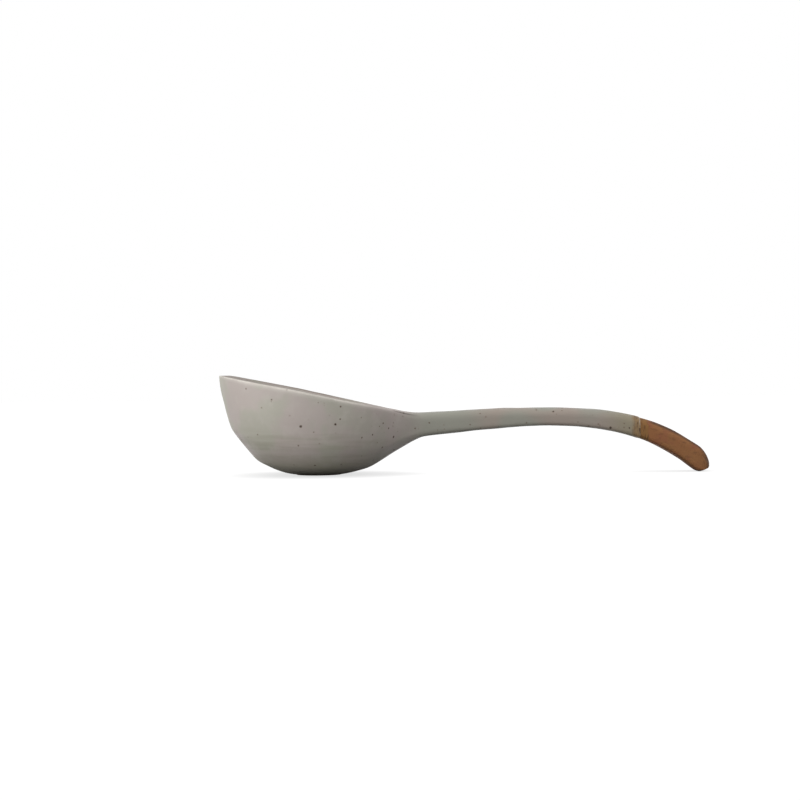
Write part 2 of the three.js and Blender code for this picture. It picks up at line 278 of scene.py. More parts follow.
def between(low, high, part):
    """The value at a part of the way from low to high."""
    return low + (high - low) * part


def ease(value, start, whole):
    """0 before the start of a zone and 1 where it is whole, with a smooth rise between them."""
    part = min(max((value - start) / (whole - start), 0), 1)
    return part * part * (3 - 2 * part)


def rim_height(bowl, turn):
    back = math.cos(turn)
    middle = (bowl.lip_height + bowl.back_height) / 2
    slope = (bowl.lip_height - bowl.back_height) / 2
    return middle - slope * back + bowl.rim_crown * (1 - back * back)


def rim_radius(bowl, turn):
    """Radius of the rim's edges, which are crisper at the lip."""
    return between(bowl.rim_round, bowl.lip_round, ease(-math.cos(turn), *CRISP_LIP))


def oval_curve(power, climb):
    """A quarter of a unit oval, from the foot up to the rim: how far out and how far up."""
    turn = math.radians(climb)
    return Vector((bulge(math.sin(turn), power), 1 - bulge(math.cos(turn), power)))


def wall_curve(bowl, power, climb, trim):
    """The same curve with the knife's flat cuts."""
    for low, high in zip(TRIM_CUTS, TRIM_CUTS[1:]):
        if climb <= high:
            chord = oval_curve(power, low).lerp(oval_curve(power, high), (climb - low) / (high - low))
            flatness = trim * bowl.trim_low if low == 0 else trim
            return oval_curve(power, climb).lerp(chord, flatness)
    return oval_curve(power, climb)


def wall_point(bowl, turn, climb, trim):
    """A point on the wall. The cuts are plain at the front, and were smoothed over at the sides."""
    along, across = math.cos(turn), math.sin(turn)
    power = between(bowl.wall_power, bowl.side_power, across * across)
    front, back = ease(-along, *FRONT_CUTS), ease(along, *BACK_CUTS)
    left = bowl.trim_sides + (1 - bowl.trim_sides) * front + (bowl.trim_back - bowl.trim_sides) * back
    out, up = wall_curve(bowl, power, climb, trim * left)
    foot = Vector((bowl.foot_length / 2 * along, bowl.foot_width / 2 * across, 0))
    rim = Vector((bowl.mouth_length / 2 * along - bowl.mouth_forward, bowl.mouth_width / 2 * across, 0))
    point = foot.lerp(rim, out)
    point.z = between(bowl.foot_rise, rim_height(bowl, turn) - rim_radius(bowl, turn), up)
    return point


def wall_layer(bowl, turn, climb, depth, trim):
    """A point at a depth below the wall, square to it."""
    step = 0.01
    around = wall_point(bowl, turn + step, climb, trim) - wall_point(bowl, turn - step, climb, trim)
    above = wall_point(bowl, turn, min(climb + step, RIM_CLIMB), trim)
    upward = above - wall_point(bowl, turn, max(climb - step, 0), trim)
    inward = upward.cross(around).normalized()
    return wall_point(bowl, turn, climb, trim) + inward * depth


def circle(sides, point_at):
    return [point_at(math.tau * i / sides) for i in range(sides)]


def pinched(turn, climb):
    """The turn of a column at a climb of the wall, which the neck's pinch draws towards the handle."""
    at_neck = NECK_PINCH * ease(climb, *NECK_PINCH_RISE) * ease(climb, *NECK_PINCH_FALL)
    at_rim = RIM_PINCH * ease(climb, *RIM_PINCH_RISE)
    return turn - (at_neck + at_rim) * max(math.cos(turn), 0) * math.sin(turn)


def outside_rings(bowl, depth):
    """The trimmed outside of the bowl at a depth below its surface, from the foot up."""
    return [
        circle(BOWL_SIDES, lambda turn: wall_layer(bowl, pinched(turn, climb), climb, depth, bowl.trim))
        for climb in OUTSIDE_CLIMBS
    ]


def inside_rings(bowl, depth):
    """The smooth inside of the bowl at a depth below its surface, from the rim down to the floor."""

    def layer(turn, climb):
        swell = INSIDE_SWELL * ease(climb, *SWELL_BELOW_RIM) * ease(climb, *SWELL_ABOVE_FLOOR)
        return wall_layer(bowl, pinched(turn, climb), climb, bowl.wall * (1 + swell) - depth, 0)

    walls = [circle(BOWL_SIDES, lambda turn: layer(turn, climb)) for climb in INSIDE_CLIMBS]
    middle = sum(walls[-1], Vector()) / BOWL_SIDES
    floors = [[middle.lerp(point, part) for point in walls[-1]] for part in FLOOR_SHARES]
    return walls + floors


def rim_rings(bowl, depth):
    """The rim at a depth below its surface: its outer edge, the middle of its top and its inner edge."""

    def ring(corner, from_inside=False):
        """A ring on the outer or inner edge, at an angle from the upright wall."""

        def point_at(column):
            turn = pinched(column, RIM_CLIMB)
            radius = rim_radius(bowl, turn) - depth
            inset = depth + radius * (1 - math.cos(corner))
            layer = bowl.wall - inset if from_inside else inset
            point = wall_layer(bowl, turn, RIM_CLIMB, layer, bowl.trim)
            point.z += radius * math.sin(corner)
            return point

        return circle(BOWL_SIDES, point_at)

    def crest(column):
        turn = pinched(column, RIM_CLIMB)
        point = wall_layer(bowl, turn, RIM_CLIMB, bowl.wall / 2, bowl.trim)
        point.z += rim_radius(bowl, turn) - depth
        return point

    corners = [math.pi / 2 * (step + 1) / ROUND_STEPS for step in range(ROUND_STEPS)]
    outer = [ring(corner) for corner in corners]
    inner = [ring(corner, from_inside=True) for corner in reversed(corners)]
    return outer + [circle(BOWL_SIDES, crest)] + inner


def foot_rings(bowl):
    """Rings of the bare foot, from the middle of its underside out and up."""

    def ring(inset, height):
        def point_at(turn):
            outward = Vector((math.cos(turn), math.sin(turn), 0))
            point = wall_point(bowl, turn, 0, 0) - outward * inset
            point.z = height
            return point

        return circle(BOWL_SIDES, point_at)

    edge, bearing, dish = bowl.foot_round, bowl.foot_bearing, bowl.foot_dish
    start, depth = DISH_START
    rows = [(bowl.foot_length / 2 * inset, dish * part) for inset, part in DISH_ROWS]
    rows += [(bearing * start, dish * depth), (bearing, 0)]
    rows += [(edge, 0), (edge * FOOT_BEVEL, edge * FOOT_BEVEL), (0, edge)]
    return [ring(inset, height) for inset, height in rows]


# The handle

# The patch of wall that opens into the handle: its rows, and its columns to each side of the middle
NECK_LOW_ROW = OUTSIDE_CLIMBS.index(30)
NECK_TOP_ROW = len(OUTSIDE_CLIMBS) - 1 + ROUND_STEPS
NECK_MIDDLE_ROW = (NECK_LOW_ROW + NECK_TOP_ROW) // 2
NECK_COLUMNS = 7
NECK_STEPS = 6

# The clay root and the slip are smaller than the patch by these shares, and the glaze fills the corner
ROOT_SHRINK = 0.25
PAD_SHRINK = 0.45

# The handle's mesh
HANDLE_SIDES = 2 * (NECK_TOP_ROW - NECK_LOW_ROW) + 4 * NECK_COLUMNS
ARCH_STEP = 3 * MM
TIP_STEP = 2 * MM
BARE_OVERLAP = 2.5 * MM
NOSE_STEPS = 16
SPINE_STEPS = 400

# The top of the nose passes into its heel here, as sines round the tip
HEEL_SIDES = (0.35, -0.5)


class Spine:
    """The handle's middle line, an arch in the plane of symmetry, measured along its length."""

    def __init__(self, handle, proud):
        self.handle = handle
        rise, droop = handle.neck_climb, handle.tip_droop
        self.neck_way = Vector((math.cos(rise), 0, math.sin(rise)))
        self.tip_way = Vector((math.cos(droop), 0, -math.sin(droop)))
        neck = Vector((handle.neck_reach, 0, handle.neck_height))
        tip = Vector((handle.reach, 0, self.tip_height(proud)))
        pulls = neck + self.neck_way * handle.neck_pull, tip - self.tip_way * handle.tip_pull
        self.points = interpolate_bezier(neck, *pulls, tip, SPINE_STEPS + 1)
        self.reaches = [0]
        for before, after in zip(self.points, self.points[1:]):
            self.reaches.append(self.reaches[-1] + (after - before).length)
        self.length = self.reaches[-1]
        self.glaze_edge = self.length - (handle.bare_length - handle.nose_length)
        self.glaze_end = self.at(self.glaze_edge)[0].x

    def tip_height(self, proud):
        """Height of the tip's middle, so that its bare end just reaches the table once the heel is rubbed."""
        handle = self.handle
        nose_fall = (handle.nose_length - proud) * math.sin(handle.tip_droop)
        side_fall = (handle.tip_thickness / 2 - proud) * math.cos(handle.tip_droop)
        heel = handle.heel_power / (handle.heel_power - 1)
        return (nose_fall**heel + side_fall**heel) ** (1 / heel) - handle.heel_cut

    def at(self, reach):
        """The point at a distance along the arch, and the way that the arch runs there."""
        step = next((i for i in range(1, SPINE_STEPS) if self.reaches[i] >= reach), SPINE_STEPS)
        low, high = self.points[step - 1], self.points[step]
        part = (reach - self.reaches[step - 1]) / (self.reaches[step] - self.reaches[step - 1])
        return low.lerp(high, part), (high - low).normalized()

    def swell(self, reach, neck, waist, tip):
        """A width, thickness or power at a distance along the arch."""
        part, waist_part = reach / self.length, self.handle.waist_share
        if part < waist_part:
            end, away = neck, 1 - part / waist_part
        else:
            end, away = tip, (part - waist_part) / (1 - waist_part)
        return between(waist, end, min(away, 1) ** self.handle.waist_power)

    def spoke(self, reach, turn):
        """From the middle of the section at a distance along the arch out to its surface."""
        handle = self.handle
        facing = self.at(reach)[1]
        upward = Vector((-facing.z, 0, facing.x))
        thickness = self.swell(reach, handle.neck_thickness, handle.waist_thickness, handle.tip_thickness)
        width = self.swell(reach, handle.neck_width, handle.waist_width, handle.tip_width)
        power = handle.under_power
        if math.sin(turn) > 0:
            power = self.swell(reach, handle.neck_power, handle.section_power, handle.tip_power)
        rise = bulge(math.sin(turn), power) * thickness / 2
        across = bulge(math.cos(turn), power) * width / 2
        return upward * rise + Vector((0, across, 0))

    def surface(self, reach, turn, depth=0):
        spoke = self.spoke(reach, turn)
        return self.at(reach)[0] + spoke - spoke.normalized() * depth

    def nose(self, part, turn, depth):
        """A point on the rounded end, from its start at part 0 to its foremost point at part 1."""
        handle = self.handle
        corner = part * math.pi / 2
        power = between(handle.nose_power, handle.heel_power, ease(math.sin(turn), *HEEL_SIDES))
        onward = (handle.nose_length - depth) * bulge(math.sin(corner), power)
        spoke = self.spoke(self.length, turn)
        drawn = (spoke - spoke.normalized() * depth) * bulge(math.cos(corner), power)
        return self.points[-1] + self.tip_way * onward + drawn


def neck_mouth():
    """The edge of the patch of wall that opens into the handle, as pairs of row and column.

    It starts halfway up the side at +Y and runs up, over the rim, down the other side and along the bottom.
    """
    low, high, side = NECK_LOW_ROW, NECK_TOP_ROW, NECK_COLUMNS
    upper = [(row, side) for row in range(NECK_MIDDLE_ROW, high)]
    top = [(high, column) for column in range(side, -side, -1)]
    down = [(row, -side) for row in range(high, low, -1)]
    bottom = [(low, column) for column in range(-side, side)]
    lower = [(row, side) for row in range(low, NECK_MIDDLE_ROW)]
    return upper + top + down + bottom + lower


def leaving_way(rings, row, column):
    """The way in which the wall's surface runs on into the patch at a point of its edge."""
    point = rings[row][column]
    way = Vector()
    if abs(column) == NECK_COLUMNS:
        way += (point - rings[row][column + (1 if column > 0 else -1)]).normalized()
    if row == NECK_TOP_ROW:
        way += (point - rings[row + 1][column]).normalized()
    if row == NECK_LOW_ROW:
        way += (point - rings[row - 1][column]).normalized()
    return way.normalized()


def hermite(start, leaving, end, arriving, part):
    """A point on a curve from start to end that leaves and arrives in the given ways."""
    square, cube = part * part, part**3
    here = start * (2 * cube - 3 * square + 1) + leaving * (cube - 2 * square + part)
    return here + end * (3 * square - 2 * cube) + arriving * (cube - square)


def patch_point(rings, row, column, drawn_in):
    """A point of the patch, drawn in along the wall towards the patch's middle by a share."""
    row = between(row, NECK_MIDDLE_ROW, drawn_in)
    column = between(column, 0, drawn_in)
    low, left = math.floor(row), math.floor(column)
    below, above = (ring[left].lerp(ring[left + 1], column - left) for ring in rings[low : low + 2])
    return below.lerp(above, row - low)


def mouth_ring(rings, drawn_in=0):
    """The patch's edge, drawn in by a share."""
    return [patch_point(rings, row, column, drawn_in) for row, column in neck_mouth()]


def neck_rings(rings, spine, depth, drawn_in=0):
    """Rings that sweep from the wall's patch to the start of the arch, without either end."""
    handle = spine.handle
    curves = []
    for i, (start, (row, column)) in enumerate(zip(mouth_ring(rings, drawn_in), neck_mouth())):
        end = spine.surface(0, math.tau * i / HANDLE_SIDES, depth)
        straight = end - start
        pull = straight.length * handle.neck_sweep
        under = ease(row, NECK_MIDDLE_ROW, NECK_LOW_ROW)
        leaving = leaving_way(rings, row, column).lerp(straight.normalized(), handle.neck_fill * under)
        arriving = spine.neck_way * pull * (1 - handle.neck_ease * under)
        curves.append((start, leaving * pull, end, arriving))
    parts = [(step + 1) / (NECK_STEPS + 1) for step in range(NECK_STEPS)]
    return [[hermite(*curve, part) for curve in curves] for part in parts]


def handle_circle(point_at):
    return circle(HANDLE_SIDES, point_at)


def stops(low, high, step):
    """Even stops from low to high, both included, about a step apart."""
    count = max(1, round((high - low) / step))
    return [between(low, high, i / count) for i in range(count + 1)]


# Meshes

SUBDIVISIONS = 2

# Dents of hand-made surfaces: shares of the wide and the narrow ones, and how much narrower these are
WIDE_DENTS = 0.55
NARROW_DENTS = 0.25
NARROWER = 2.3
NARROW_SHIFT = Vector((7, 3, 5))
LEVEL = 0.5

# Zones in which those surfaces swell as well as dent, along the spoon and up from the table
ON_HANDLE = (36 * MM, 48 * MM)
BEFORE_NOSE = (152 * MM, 140 * MM)
ON_WALL = (48 * MM, 36 * MM)
BELOW_RIM = (32 * MM, 24 * MM)
ABOVE_FOOT = (0, 3 * MM)


class Draft:
    """A mesh that is drawn ring by ring, with marks on its points that the finishes read."""

    def __init__(self, *marks):
        self.mesh = bmesh.new()
        self.marks = {mark: self.mesh.verts.layers.float.new(mark) for mark in marks}

    def ring(self, points, **marks):
        made = [self.mesh.verts.new(point) for point in points]
        for mark, value in marks.items():
            for vert in made:
                vert[self.marks[mark]] = value
        return made

    def band(self, low, high, left_out=()):
        """Joins two rings. The faces point out where both turn counter-clockwise, seen from the high one."""
        count = len(low)
        for i in range(count):
            if i not in left_out:
                after = (i + 1) % count
                self.mesh.faces.new((low[i], low[after], high[after], high[i]))

    def bands(self, rings):
        for low, high in zip(rings, rings[1:]):
            self.band(low, high)

    def fan(self, ring, point=None, **marks):
        """Closes a ring to a point, or else to its own middle."""
        middle = point or sum((vert.co for vert in ring), Vector()) / len(ring)
        (centre,) = self.ring([middle], **marks)
        for i, vert in enumerate(ring):
            self.mesh.faces.new((vert, ring[(i + 1) % len(ring)], centre))

    def piece(self, name, material):
        """Makes a smooth object of the draft."""
        loose = [vert for vert in self.mesh.verts if not vert.link_faces]
        bmesh.ops.delete(self.mesh, geom=loose, context="VERTS")
        data = bpy.data.meshes.new(name)
        self.mesh.to_mesh(data)
        self.mesh.free()
        made = bpy.data.objects.new(name, data)
        bpy.context.scene.collection.objects.link(made)
        subdivide(made)
        made.data.materials.append(material)
        for face in made.data.polygons:
            face.use_smooth = True
        return made


def subdivide(piece):
    """Smooths a piece into a fine mesh of its own."""
    smooth = piece.modifiers.new("Smooth", "SUBSURF")
    smooth.levels = SUBDIVISIONS
    smooth.render_levels = SUBDIVISIONS
    smooth.boundary_smooth = "PRESERVE_CORNERS"
    graph = bpy.context.evaluated_depsgraph_get()
    fine = bpy.data.meshes.new_from_object(piece.evaluated_get(graph))
    piece.modifiers.clear()
    piece.data = fine


def press_in(piece, depth_at):
    """Moves each point in by the depth that its place has, square to the surface."""
    moved = [vert.co - vert.normal * depth_at(vert.co) for vert in piece.data.vertices]
    for vert, place in zip(piece.data.vertices, moved):
        vert.co = place
    piece.data.update()


def wobble(finish, place):
    """How far a hand-made surface lies in at a place. It swells too, but not on the rim, tip or foot."""
    wide = noise.noise(place / finish.wobble_size)
    narrow = noise.noise(place / finish.wobble_size * NARROWER + NARROW_SHIFT)
    dent = min(max(LEVEL + WIDE_DENTS * wide + NARROW_DENTS * narrow, 0), 1)
    on_handle = ease(place.x, *ON_HANDLE) * ease(place.x, *BEFORE_NOSE)
    on_wall = ease(place.x, *ON_WALL) * ease(place.z, *BELOW_RIM) * ease(place.z, *ABOVE_FOOT)
    return finish.wobble * (dent - LEVEL * (on_handle + on_wall))


def seat(piece, slot, *nodes):
    """Fixes a piece to the spoon's body, in place of the plain solids that it stands for."""
    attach(piece, BODY)
    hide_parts(*nodes)


# Finishes

# Noise in the finishes: its size, and how much detail it has
GLAZE_DRIFT = (26 * MM, 1.5)
GLAZE_PATCH = (9 * MM, 2)
GLAZE_CLOUD = (5 * MM, 4)
GLAZE_LINES = (2.4 * MM, 2)
GLAZE_BREAKS = (1.6 * MM, 3)
GLAZE_SKIN = (1.3 * MM, 3)
SPECK_RAGS = (0.9 * MM, 2)
STROKES = (0.5 * MM, 3)
CLAY_PATCH = (9 * MM, 3)
CLAY_RUDDY = (7 * MM, 2)
# This one breaks up the painted shade on the tip
OUTLINE_SHADE_CLOUD = (6 * MM, 3)
CLAY_RAGS = (2.2 * MM, 3)
CLAY_GRAIN = (1.1 * MM, 4)
CLAY_GRIT = (0.45 * MM, 2)
SLIP_STREAKS = (2 * MM, 3)

# How some of it is drawn out, as scales along X, Y and Z, where less is longer
ROUND_BOWL = (0.06, 0.06, 1)
ACROSS_HANDLE = (1, 0.16, 0.16)
ALONG_TIP = (0.45, 1, 1)
UP_WALL = (1, 1, 0.3)
# This shift sets the ruddy patches apart from the others
RUDDY_SHIFT = (0.1, 0.1, 0.1)

# Zones of the glaze's noise, most of which lies between 0.3 and 0.7
GREEN_DRIFT = (0.4, 0.58)
GREEN_PATCH = (0.35, 0.65, -0.07, 0.07)
BLUSH_DRIFT = (0.58, 0.42)
PALE_CLOUD = (0.45, 0.8, 0, 0.5)
# This one breaks the painted highlight on the rim's outer edge into patches
LIT_RIM_CLOUD = (0.35, 0.6, 0.6, 1)
LINES_NOISE = (0.42, 0.68, 0, 0.42)
BREAKS_NOISE = (0.45, 0.6, 0, 0.75)
HONEY_STROKES = (0.52, 0.68, 0, 0.8)
HONEY_RAGS = (0.2, 0.8, -0.6 * MM, 0.6 * MM)
GLAZE_ROUGHNESS = (0.3, 0.7, 0.44, 0.56)

# Zones of the clay's and the slip's noise
PALE_PATCH = (0.35, 0.68, 0, 0.55)
RUDDY_PATCH = (0.48, 0.64, 0, 0.6)
# This one too breaks up the painted shade on the tip
OUTLINE_SHADE_PATCH = (0.35, 0.62, 0.62, 1)
DARK_GRAIN = (0.5, 0.75, 0, 0.3)
DARK_GRIT = (0.6, 0.75, 0, 0.4)
FLASH_STROKES = (0.5, 0.66, 0, 0.75)
FLASH_RAGS = (0.2, 0.8, -0.5 * MM, 0.5 * MM)
TOASTED_STREAKS = (0.35, 0.7)
CLAY_ROUGHNESS = (0.3, 0.7, 0.7, 0.85)
SLIP_ROUGHNESS = (0.3, 0.7, 0.75, 0.9)

# Zones of the glaze along the spoon
GREEN_REACH = (-30 * MM, 10 * MM, 0, -0.1)
SPECK_REACH = (-30 * MM, 20 * MM)
MAUVE_REACH = (0, 28 * MM, 0, 0.35)
# The rim's top is darker towards the lip than at the back
RIM_DARK_REACH = (22 * MM, -5 * MM, 0.15, 0.85)
# The painted highlight on the rim's outer edge fades out towards the back
LIT_RIM_REACH = (27 * MM, 14 * MM)
LINES_REACH = (36 * MM, 26 * MM)
HANDLE_REACH = (30 * MM, 46 * MM)
BLUSH_REACH = (55 * MM, 75 * MM)

# Zones of the glaze up from the table
POOLED_RISE = (11 * MM, 3 * MM, 0, 0.7)
LINES_RISE = (24 * MM, 12 * MM)
ROLLED_RISE = (14 * MM, 20 * MM, 0.1, 1)

# Zones along the handle from the glaze's edge, and how softly the flash ends
STAINED_PAST = (-18 * MM, -4 * MM)
HONEY_PAST = (-3.8 * MM, -2 * MM)
FLASH_PAST = (-5 * MM, -4 * MM)
FLASH_SOFT = 0.3 * MM

# How much of these colours shows where they are whole
# Of the pooled glaze and its painted shade on the floor inside
POOL_SHADE_COAT = 0.6
HONEY_COAT = 0.85
FLASH_COAT = 0.9

# Large and small specks: shares of the spacing and the size, and how rare they are at the neck and the lip
SPECKS = ((1, 1, 0.28, 0.8), (0.45, 0.5, 0.58, 0.92))
SPECK_RAGGED = 0.5 * MM
# Zones from a speck's edge, of its radius and of its tone
SPECK_EDGE = (0.08 * MM, -0.1 * MM)
HALO_EDGE = (0.35 * MM, 0, 0, 0.55)
HALO_RADIUS = (0, 0.2 * MM)
SPECK_TONE = (0, 1, 0.65, 1)

# Relief of the finishes: its strength and its depth, and the shares of pits and grit in it
GLAZE_RELIEF = (0.35, 0.05 * MM)
CLAY_RELIEF = (0.5, 0.06 * MM)
SLIP_RELIEF = (0.4, 0.08 * MM)
PIT_RELIEF = 0.6
GRIT_RELIEF = 0.5

GLAZE_SPECULAR = 0.25
CLAY_SPECULAR = 0.3


class Nodes:
    """The nodes of a material or of the world, which are added one after another."""

    def __init__(self, owner):
        owner.use_nodes = True
        self.tree = owner.node_tree

    def add(self, kind, inputs=None, **settings):
        """Adds a node. An input is another node's output, or a plain value."""
        node = self.tree.nodes.new(kind)
        for name, value in settings.items():
            setattr(node, name, value)
        for name, value in (inputs or {}).items():
            self.feed(node.inputs[name], value)
        return node

    def feed(self, socket, value):
        if isinstance(value, bpy.types.NodeSocket):
            self.tree.links.new(value, socket)
        elif socket.type == "RGBA":
            socket.default_value = (*value, 1)
        else:
            socket.default_value = value

    def chain(self, operation, first, *others):
        """Works out first with each of the others in turn."""
        for other in others:
            first = self.add("ShaderNodeMath", {0: first, 1: other}, operation=operation).outputs[0]
        return first

    def plus(self, *values):
        return self.chain("ADD", *values)

    def minus(self, *values):
        return self.chain("SUBTRACT", *values)

    def times(self, *values):
        return self.chain("MULTIPLY", *values)

    def largest(self, *values):
        return self.chain("MAXIMUM", *values)

    def span(self, value, start, whole, to_start=0, to_whole=1):
        """Carries a zone smoothly on to another span."""
        ends = {"From Min": start, "From Max": whole, "To Min": to_start, "To Max": to_whole}
        inputs = {"Value": value, **ends}
        return self.add("ShaderNodeMapRange", inputs, interpolation_type="SMOOTHSTEP").outputs["Result"]

    def tint(self, factor, first, second):
        return self.add("ShaderNodeMix", {0: factor, 6: first, 7: second}, data_type="RGBA").outputs[2]

    def seen_rays(self):
        """1 for what is seen straight, in a gloss or through glass, and 0 for light that falls on things."""
        path = self.add("ShaderNodeLightPath").outputs
        return self.largest(path["Is Camera Ray"], path["Is Glossy Ray"], path["Is Transmission Ray"])


class Finish(Nodes):
    """A material of the spoon, whose body colour is coated with others one after another."""

    def __init__(self, name, body):
        self.material = bpy.data.materials.new(name)
        super().__init__(self.material)
        self.shader = self.tree.nodes["Principled BSDF"]
        self.body = body
        self.place = self.add("ShaderNodeTexCoord").outputs["Object"]
        self.reach, _, self.height = self.add("ShaderNodeSeparateXYZ", {0: self.place}).outputs

    def coat(self, tone, *shares):
        """Coats the body with a tone, by the product of some shares."""
        self.body = self.tint(self.times(*shares), self.body, tone)

    def stretched(self, scale=(1, 1, 1), rotation=(0, 0, 0), location=(0, 0, 0)):
        sizes = {"Vector": self.place, "Scale": scale, "Rotation": rotation, "Location": location}
        return self.add("ShaderNodeMapping", sizes).outputs[0]

    def cloud(self, size, detail, place=None, output="Fac"):
        """Soft noise with patches of about a size."""
        inputs = {"Vector": place or self.place, "Scale": 1 / size, "Detail": detail}
        return self.add("ShaderNodeTexNoise", inputs).outputs[output]

    def mark(self, name):
        return self.add("ShaderNodeAttribute", attribute_name=name).outputs["Fac"]

    def past_glaze(self):
        """How far a place lies past the glaze's edge on the handle."""
        scene = bpy.context.scene
        return self.minus(self.reach, Spine(scene.spoon_handle, scene.spoon_finish.proud).glaze_end)

    def strokes(self):
        """Fine strokes across the handle, where the glaze and the fire ran."""
        return self.cloud(*STROKES, self.stretched(ACROSS_HANDLE))

    def spots(self, spacing, place):
        """Scattered dots: the distance from the nearest one in metres, and two random numbers that it has."""
        cells = self.add("ShaderNodeTexVoronoi", {"Vector": place, "Scale": 1 / spacing})
        first, second, _ = self.add("ShaderNodeSeparateColor", {0: cells.outputs["Color"]}).outputs
        return self.times(cells.outputs["Distance"], spacing), first, second

    def bump(self, height, strength, distance):
        inputs = {"Height": height, "Strength": strength, "Distance": distance}
        self.feed(self.shader.inputs["Normal"], self.add("ShaderNodeBump", inputs).outputs[0])

    def shade(self, roughness, specular):
        """Finishes the material."""
        self.feed(self.shader.inputs["Base Color"], self.body)
        self.feed(self.shader.inputs["Roughness"], roughness)
        self.feed(self.shader.inputs["Specular IOR Level"], specular)
        return self.material


def speckled_glaze(finish):
    """Satin glaze, pinkish to greenish grey, with iron specks, a pale rolled edge and a painted rim
    highlight.
    """
    glaze = Finish("speckled glaze", finish.glaze_warm)
    drift = glaze.cloud(*GLAZE_DRIFT)
    cloudy = glaze.cloud(*GLAZE_CLOUD)
    coat_bowl(glaze, finish, drift, cloudy)
    coat_handle(glaze, finish, drift)
    coat_edges(glaze, finish, cloudy)
    pits = iron_specks(glaze, finish)
    skin = glaze.minus(glaze.cloud(*GLAZE_SKIN), glaze.times(pits, PIT_RELIEF))
    glaze.bump(skin, *GLAZE_RELIEF)
    return glaze.shade(glaze.span(cloudy, *GLAZE_ROUGHNESS), GLAZE_SPECULAR)


def coat_bowl(glaze, finish, drift, cloudy):
    """Greenish drifts, pools and throwing lines low down, mauve towards the handle, and pale clouds."""
    lip_lean = glaze.span(glaze.reach, *GREEN_REACH)
    patch_lean = glaze.span(glaze.cloud(*GLAZE_PATCH), *GREEN_PATCH)
    glaze.coat(finish.glaze_cool, glaze.span(glaze.plus(drift, lip_lean, patch_lean), *GREEN_DRIFT))
    glaze.coat(finish.glaze_pooled, glaze.span(glaze.height, *POOLED_RISE))
    lines = glaze.span(glaze.cloud(*GLAZE_LINES, glaze.stretched(ROUND_BOWL)), *LINES_NOISE)
    low_down = glaze.span(glaze.height, *LINES_RISE)
    glaze.coat(finish.glaze_deep_and_shade, lines, low_down, glaze.span(glaze.reach, *LINES_REACH))
    glaze.coat(finish.glaze_mauve, glaze.span(glaze.reach, *MAUVE_REACH))
    glaze.coat(finish.glaze_pale, glaze.span(cloudy, *PALE_CLOUD))
    # Pooled glaze on the floor inside, with painted shade that makes the bowl look deeper
    glaze.coat(finish.glaze_deep_and_shade, glaze.mark("pooled"), POOL_SHADE_COAT)


def coat_handle(glaze, finish, drift):
    """The handle's slighter coat with its blush, and the stain on the way to the glaze's edge."""
    blush = glaze.times(glaze.span(drift, *BLUSH_DRIFT), glaze.span(glaze.reach, *BLUSH_REACH))
    slight = glaze.tint(blush, finish.glaze_handle, finish.glaze_blush)
    glaze.coat(slight, glaze.span(glaze.reach, *HANDLE_REACH))
    glaze.coat(finish.glaze_stained, glaze.span(glaze.past_glaze(), *STAINED_PAST))


def coat_edges(glaze, finish, cloudy):
    """The rim's darker top, the honey and rolled edges on the handle and a painted highlight on the rim."""
    # Darker, browner glaze on the rim's top, most of it at the lip
    glaze.coat(finish.glaze_rim_dark, glaze.mark("broken"), glaze.span(glaze.reach, *RIM_DARK_REACH))
    ragged = glaze.plus(glaze.past_glaze(), glaze.span(cloudy, *HONEY_RAGS))
    honey = glaze.span(ragged, *HONEY_PAST)
    glaze.coat(finish.glaze_honey, honey, HONEY_COAT)
    glaze.coat(finish.clay_dark_and_shade, honey, glaze.span(glaze.strokes(), *HONEY_STROKES))
    # A painted highlight on the rim's outer edge, in patches, fading towards the back; the rolled edge is
    # paler glaze
    worn = glaze.span(cloudy, *LIT_RIM_CLOUD)
    thin = glaze.times(glaze.mark("thin"), worn, glaze.span(glaze.reach, *LIT_RIM_REACH))
    breaks = glaze.span(glaze.cloud(*GLAZE_BREAKS), *BREAKS_NOISE)
    rolled = glaze.times(glaze.mark("rolled"), breaks, glaze.span(glaze.height, *ROLLED_RISE))
    glaze.coat(finish.glaze_rolled_and_highlight, glaze.largest(thin, rolled))


def iron_specks(glaze, finish):
    """Scatters the iron specks with their halos, rarest at the lip, and gives the pits that they leave."""
    rags = glaze.cloud(*SPECK_RAGS, output="Color")
    shift = glaze.add("ShaderNodeVectorMath", {0: rags, "Scale": SPECK_RAGGED}, operation="SCALE").outputs[0]
    place = glaze.add("ShaderNodeVectorMath", {0: glaze.place, 1: shift}, operation="ADD").outputs[0]
    pits = 0
    for spacing, size, rarity, lip_rarity in SPECKS:
        away, rank, tone = glaze.spots(finish.speck_spacing * spacing, place)
        least = glaze.span(glaze.reach, *SPECK_REACH, lip_rarity, rarity)
        radius = glaze.span(rank, least, 1, 0, finish.speck_size * size)
        outside = glaze.minus(away, radius)
        halo = glaze.span(outside, *HALO_EDGE)
        speck = glaze.span(outside, *SPECK_EDGE)
        glaze.coat(finish.speck_halo, halo, glaze.span(radius, *HALO_RADIUS))
        glaze.coat(finish.speck_dark, speck, glaze.span(tone, *SPECK_TONE))
        pits = glaze.largest(pits, speck)
    return pits


